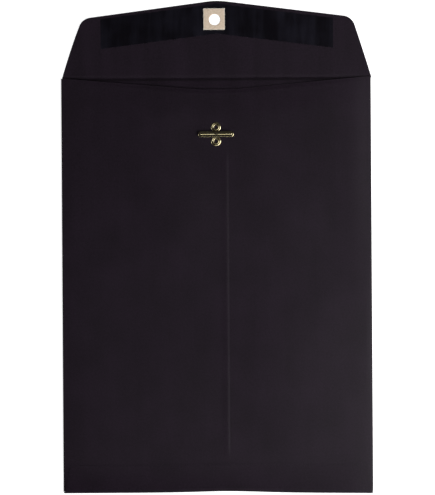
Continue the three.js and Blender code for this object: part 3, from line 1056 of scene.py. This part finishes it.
def paper_material(name, dark, light, roughness, with_painted_fold_shade=False, banding=0.2):
    """Dyed wove paper: cloudy at the size of a hand, mottled at the size of fibres."""
    nodes = Surface(name)
    flat = nodes.coordinates("UV")
    cloud = nodes.noise(flat, 3.2, 3.0, 0.5)
    bands = nodes.noise(nodes.coordinates("UV", (9, 1.1, 1)), 1.0, 2.0, 0.5)
    mottle = nodes.noise(flat, 75.0, 4.0, 0.7)
    fibre = fibres(nodes, 60)
    soft = nodes.total(cloud, 0.7 - banding, bands, banding)
    fine = nodes.total(mottle, 1.1, fibre, 0.3)
    colour = nodes.shades(nodes.combine("ADD", soft, fine), 0.82, 1.3, dark, light)
    nodes.bump(nodes.total(mottle, 0.6, fibre, 0.8), 0.02 * MM, 0.8)
    rough = nodes.remap(mottle, 0.3, 0.7, roughness - 0.05, roughness + 0.06)
    if with_painted_fold_shade:
        # Painted shade and a painted highlight along the top fold.
        colour = paint_fold_shade_and_highlight(nodes, colour)
        pressed = along_sheet(nodes, FOLD_Y - 1.5 * MM, FOLD_Y, 0.08, 0.0)
    else:
        pressed = along_sheet(nodes, bottom_flap_low.y, bottom_flap_low.y + 26 * MM, 0.13, 0.0)
    rough = nodes.combine("SUBTRACT", rough, pressed)
    return nodes.finish(Base_Color=colour, Roughness=rough, Specular_IOR_Level=0.2)


def gum_material():
    """Dried gum: darker and smoother than the paper, brushed on in soft vertical streaks, whose light colour
    is partly painted sheen.
    """
    nodes = Surface("dried_gum")
    flat = nodes.coordinates("UV")
    streak_and_sheen = nodes.noise(nodes.coordinates("UV", (10, 1.3, 1)), 1.0, 4.0, 0.6)
    cloud = nodes.noise(flat, 5.0, 2.0, 0.5)
    grain = nodes.noise(flat, 160.0, 3.0, 0.6)
    both = nodes.total(streak_and_sheen, 0.65, cloud, 0.35)
    # Partly painted sheen: the light streaks stand in for glossy reflections on the gum, and the rest is
    # uneven gum.
    colour = nodes.shades(both, 0.43, 0.74, linear(10, 8, 14), linear(27, 26, 36))
    nodes.bump(nodes.total(streak_and_sheen, 1.0, grain, 0.03), 0.25 * MM, 0.5)
    rough = nodes.remap(both, 0.35, 0.7, 0.28, 0.38)
    return nodes.finish(Base_Color=colour, Roughness=rough, Specular_IOR_Level=0.2)


def tag_material(name, dark, light):
    """Unbleached tag stock, with long fibres and small specks."""
    nodes = Surface(name)
    flat = nodes.coordinates("UV")
    mottle = nodes.noise(flat, 60.0, 4.0, 0.6)
    speck = nodes.remap(nodes.noise(flat, 300.0, 1.0, 0.5), 0.66, 0.74, 0.0, 1.0)
    shade = nodes.total(mottle, 0.5, fibres(nodes, 45), 0.5)
    colour = nodes.shades(shade, 0.38, 0.7, dark, light)
    colour = nodes.mix(nodes.combine("MULTIPLY", speck, 0.25), colour, linear(130, 108, 84))
    nodes.bump(shade, 0.04 * MM, 0.8)
    return nodes.finish(Base_Color=colour, Roughness=0.8, Specular_IOR_Level=0.3)


def metal_material():
    """Thin brass plating over steel: rubbed, a little cloudy, with fine drawing marks."""
    nodes = Surface("plated_brass")
    drawn = nodes.noise(nodes.coordinates("Object", (700, 9000, 3000)), 1.0, 3.0, 0.6)
    cloud = nodes.noise(nodes.coordinates("Object"), 420.0, 3.0, 0.55)
    colour = nodes.shades(cloud, 0.35, 0.7, linear(174, 161, 121), linear(196, 186, 154))
    clouded = nodes.remap(cloud, 0.3, 0.7, 0.14, 0.17)
    rough = nodes.combine("ADD", clouded, nodes.remap(drawn, 0.3, 0.7, 0.0, 0.02))
    nodes.bump(nodes.total(drawn, 1.0, cloud, 0.6), 0.001 * MM, 0.4)
    return nodes.finish(Base_Color=colour, Roughness=rough, Metallic=1.0)


def glue_material():
    """Dried seam glue, milky and uneven."""
    nodes = Surface("seam_adhesive")
    cloud = nodes.noise(nodes.coordinates("UV"), 30.0, 3.0, 0.5)
    colour = nodes.shades(cloud, 0.35, 0.7, linear(120, 112, 92), linear(160, 152, 130))
    nodes.bump(cloud, 0.02 * MM, 0.5)
    return nodes.finish(Base_Color=colour, Roughness=0.5)


# The finished pieces


def finish_piece(obj, slot, replaced, *mats):
    for material in mats:
        obj.data.materials.append(material)
    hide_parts(*replaced)
    return obj


def dress():
    paper = paper_material("plum_paper", linear(17, 9, 18), linear(32, 22, 34), 0.5)
    # The front sheet's paper, with painted shade and a painted highlight along the top fold.
    with_painted_fold_shade = paper_material("plum_paper_scored", linear(17, 9, 18), linear(34, 24, 36), 0.5, True, 0.45)
    cut_edge = paper_material("paper_cut_edge", linear(34, 28, 36), linear(56, 50, 58), 0.8)
    tag = tag_material("tag_stock", linear(221, 199, 174), linear(247, 227, 206))
    tag_edge = tag_material("tag_cut_edge", linear(218, 206, 190), linear(238, 230, 218))
    gum = gum_material()
    metal = metal_material()
    glue = glue_material()
    sheet = (paper, cut_edge, paper)
    film = (glue, glue, glue)

    front = finish_piece(front_sheet(), "paper", ["front_panel", "seal_flap"], with_painted_fold_shade, cut_edge, paper)
    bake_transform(front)
    left = side_panel("left_panel_sheet", SEAM_X, left_low.x, left_high.z, -1, LEFT_CORNER_DROP)
    right = side_panel("right_panel_sheet", right_low.x, right_high.x, right_high.z, 1, RIGHT_CORNER_DROP)
    finish_piece(left, "paper", ["left_back_panel", "left_side_fold"], *sheet)
    finish_piece(right, "paper", ["right_back_panel", "right_side_fold"], *sheet)
    foot = finish_piece(bottom_sheet(), "paper", ["bottom_flap", "bottom_fold"], *sheet)

    seam_z = (seam_glue_low.z, seam_glue_high.z)
    seam = film_sheet("seam_adhesive_film", seam_glue_low, seam_glue_high, *seam_z)
    finish_piece(seam, "glue", ["seam_glue"], *film)
    foot_z = (left_high.z, bottom_flap_low.z)
    foot_glue = film_sheet("bottom_adhesive_film", bottom_glue_low, bottom_glue_high, *foot_z)
    finish_piece(foot_glue, "glue", ["bottom_glue"], *film)

    band = finish_piece(gum_film(), "gum", ["gum_strip"], gum, gum, gum)
    patch = finish_piece(hole_patch(), "tag_stock", ["flap_patch"], tag, tag_edge, tag)

    plate = finish_piece(clasp_plate(), "clasp_metal", ["clasp_plate"], metal)
    upper = eyelet_rivet("upper_eyelet_rivet", LUG_YS[0], upper_eyelet_low.z, upper_eyelet_high.z)
    lower = eyelet_rivet("lower_eyelet_rivet", LUG_YS[1], lower_eyelet_low.z, lower_eyelet_high.z)
    finish_piece(upper, "clasp_metal", ["upper_eyelet"], metal)
    finish_piece(lower, "clasp_metal", ["lower_eyelet"], metal)

    for piece in (left, right, foot, seam, foot_glue, plate, upper, lower):
        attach(piece, "envelope")
    for piece in (band, patch):
        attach(piece, "flap")

    for side, body in ((-1, "left_prong"), (1, "right_prong")):
        prong = finish_piece(prong_strip(body + "_strip", side), "clasp_metal", [body], metal)
        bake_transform(prong)


# Stage, camera and light

FLOOR_HALF = 3.0
FLOOR_GAP = 0.05 * MM
FLOOR_COLOUR = (0.8, 0.8, 0.8, 1)
FLOOR_GLOW = 0.8
LIT_SIDE = (0.3, -0.95, 0)
OVERHEAD_LEVEL = 0.05
WALL_LEVEL = 0.85
# Each lamp's name, place, target, size and watts
LAMPS = (
    ("key", (0.57, -0.2, 0.47), (0.03, 0.0, 0), (0.74, 0.74), 7.85),
    ("window", (0.05, -0.6, 0.92), (0, 0.1, 0), (0.45, 0.16), 0.5),
    ("card", (-0.58, -0.02, 0.42), (0, 0.1, 0), (0.26, 0.14), 0.42),
)


def add_camera():
    data = bpy.data.cameras.new("camera")
    data.lens = LENS_MM
    data.sensor_width = SENSOR_MM
    camera = bpy.data.objects.new("camera", data)
    bpy.context.scene.collection.objects.link(camera)
    view_height = FRAME_HEIGHT / PIXELS_PER_MM * MM
    x = (FRAME_WIDTH / 2 - MIDDLE_COLUMN) / PIXELS_PER_MM * MM
    y = FOLD_Y + (FOLD_ROW - FRAME_HEIGHT / 2) / PIXELS_PER_MM * MM
    camera.location = (x, y, view_height * LENS_MM / SENSOR_MM)
    camera.rotation_euler = (0, 0, -math.radians(ROLL_DEGREES))
    data.clip_start = 0.01
    data.clip_end = 20
    bpy.context.scene.camera = camera


def add_floor():
    """A white table: plain to the lamps, and near white to the camera with the shadows kept."""
    corners = ((-1, -1), (1, -1), (1, 1), (-1, 1))
    vertices = [(x * FLOOR_HALF, y * FLOOR_HALF, -FLOOR_GAP) for x, y in corners]
    floor = make_object("floor", vertices, [(0, 1, 2, 3)])
    material = bpy.data.materials.new("white_table")
    nodes = Tree(material)
    nodes.tree.nodes.clear()
    diffuse = nodes.add("ShaderNodeBsdfDiffuse")
    nodes.fill(diffuse, Color=FLOOR_COLOUR)
    glow = nodes.add("ShaderNodeEmission")
    nodes.fill(glow, Strength=FLOOR_GLOW)
    both = nodes.add("ShaderNodeAddShader")
    nodes.link(diffuse.outputs[0], both.inputs[0])
    nodes.link(glow.outputs[0], both.inputs[1])
    rays = nodes.add("ShaderNodeLightPath").outputs
    seen = nodes.combine("MAXIMUM", rays["Is Camera Ray"], rays["Is Glossy Ray"])
    seen = nodes.combine("MAXIMUM", seen, rays["Is Transmission Ray"])
    choose = nodes.add("ShaderNodeMixShader")
    for socket, source in zip(choose.inputs, (seen, diffuse.outputs[0], both.outputs[0])):
        nodes.link(source, socket)
    nodes.fill(nodes.add("ShaderNodeOutputMaterial"), Surface=choose.outputs[0])
    floor.data.materials.append(material)


def add_world():
    """A plain studio: white low down all round and higher up on the lit side, dark overhead."""
    world = bpy.data.worlds.new("studio")
    bpy.context.scene.world = world
    nodes = Tree(world)
    nodes.tree.nodes.clear()
    place = nodes.add("ShaderNodeTexCoord").outputs["Generated"]
    split = nodes.add("ShaderNodeSeparateXYZ")
    nodes.link(place, split.inputs[0])
    towards = nodes.add("ShaderNodeVectorMath", operation="DOT_PRODUCT")
    towards.inputs[1].default_value = LIT_SIDE
    nodes.link(place, towards.inputs[0])
    height = split.outputs["Z"]
    horizon = nodes.remap(height, 0.08, 0.24, 1.0, OVERHEAD_LEVEL, "SMOOTHSTEP")
    walls = nodes.remap(height, 0.3, 0.6, WALL_LEVEL, 0.0, "SMOOTHSTEP")
    lit_side = nodes.remap(towards.outputs["Value"], -0.6, 0.2, 0.0, 1.0, "SMOOTHSTEP")
    level = nodes.combine("MAXIMUM", horizon, nodes.combine("MULTIPLY", walls, lit_side))
    around = nodes.add("ShaderNodeBackground")
    nodes.fill(around, Strength=level)
    nodes.fill(nodes.add("ShaderNodeOutputWorld"), Surface=around.outputs[0])


def add_lamp(name, place, target, size, watts):
    data = bpy.data.lights.new(name, "AREA")
    data.shape = "RECTANGLE"
    data.size, data.size_y = size
    data.energy = watts
    lamp = bpy.data.objects.new(name, data)
    bpy.context.scene.collection.objects.link(lamp)
    lamp.location = place
    lamp.rotation_euler = (Vector(target) - Vector(place)).to_track_quat("-Z", "Y").to_euler()


add_camera()
add_floor()
add_world()
for lamp in LAMPS:
    add_lamp(*lamp)
dress()

bpy.context.scene.view_settings.view_transform = "Standard"
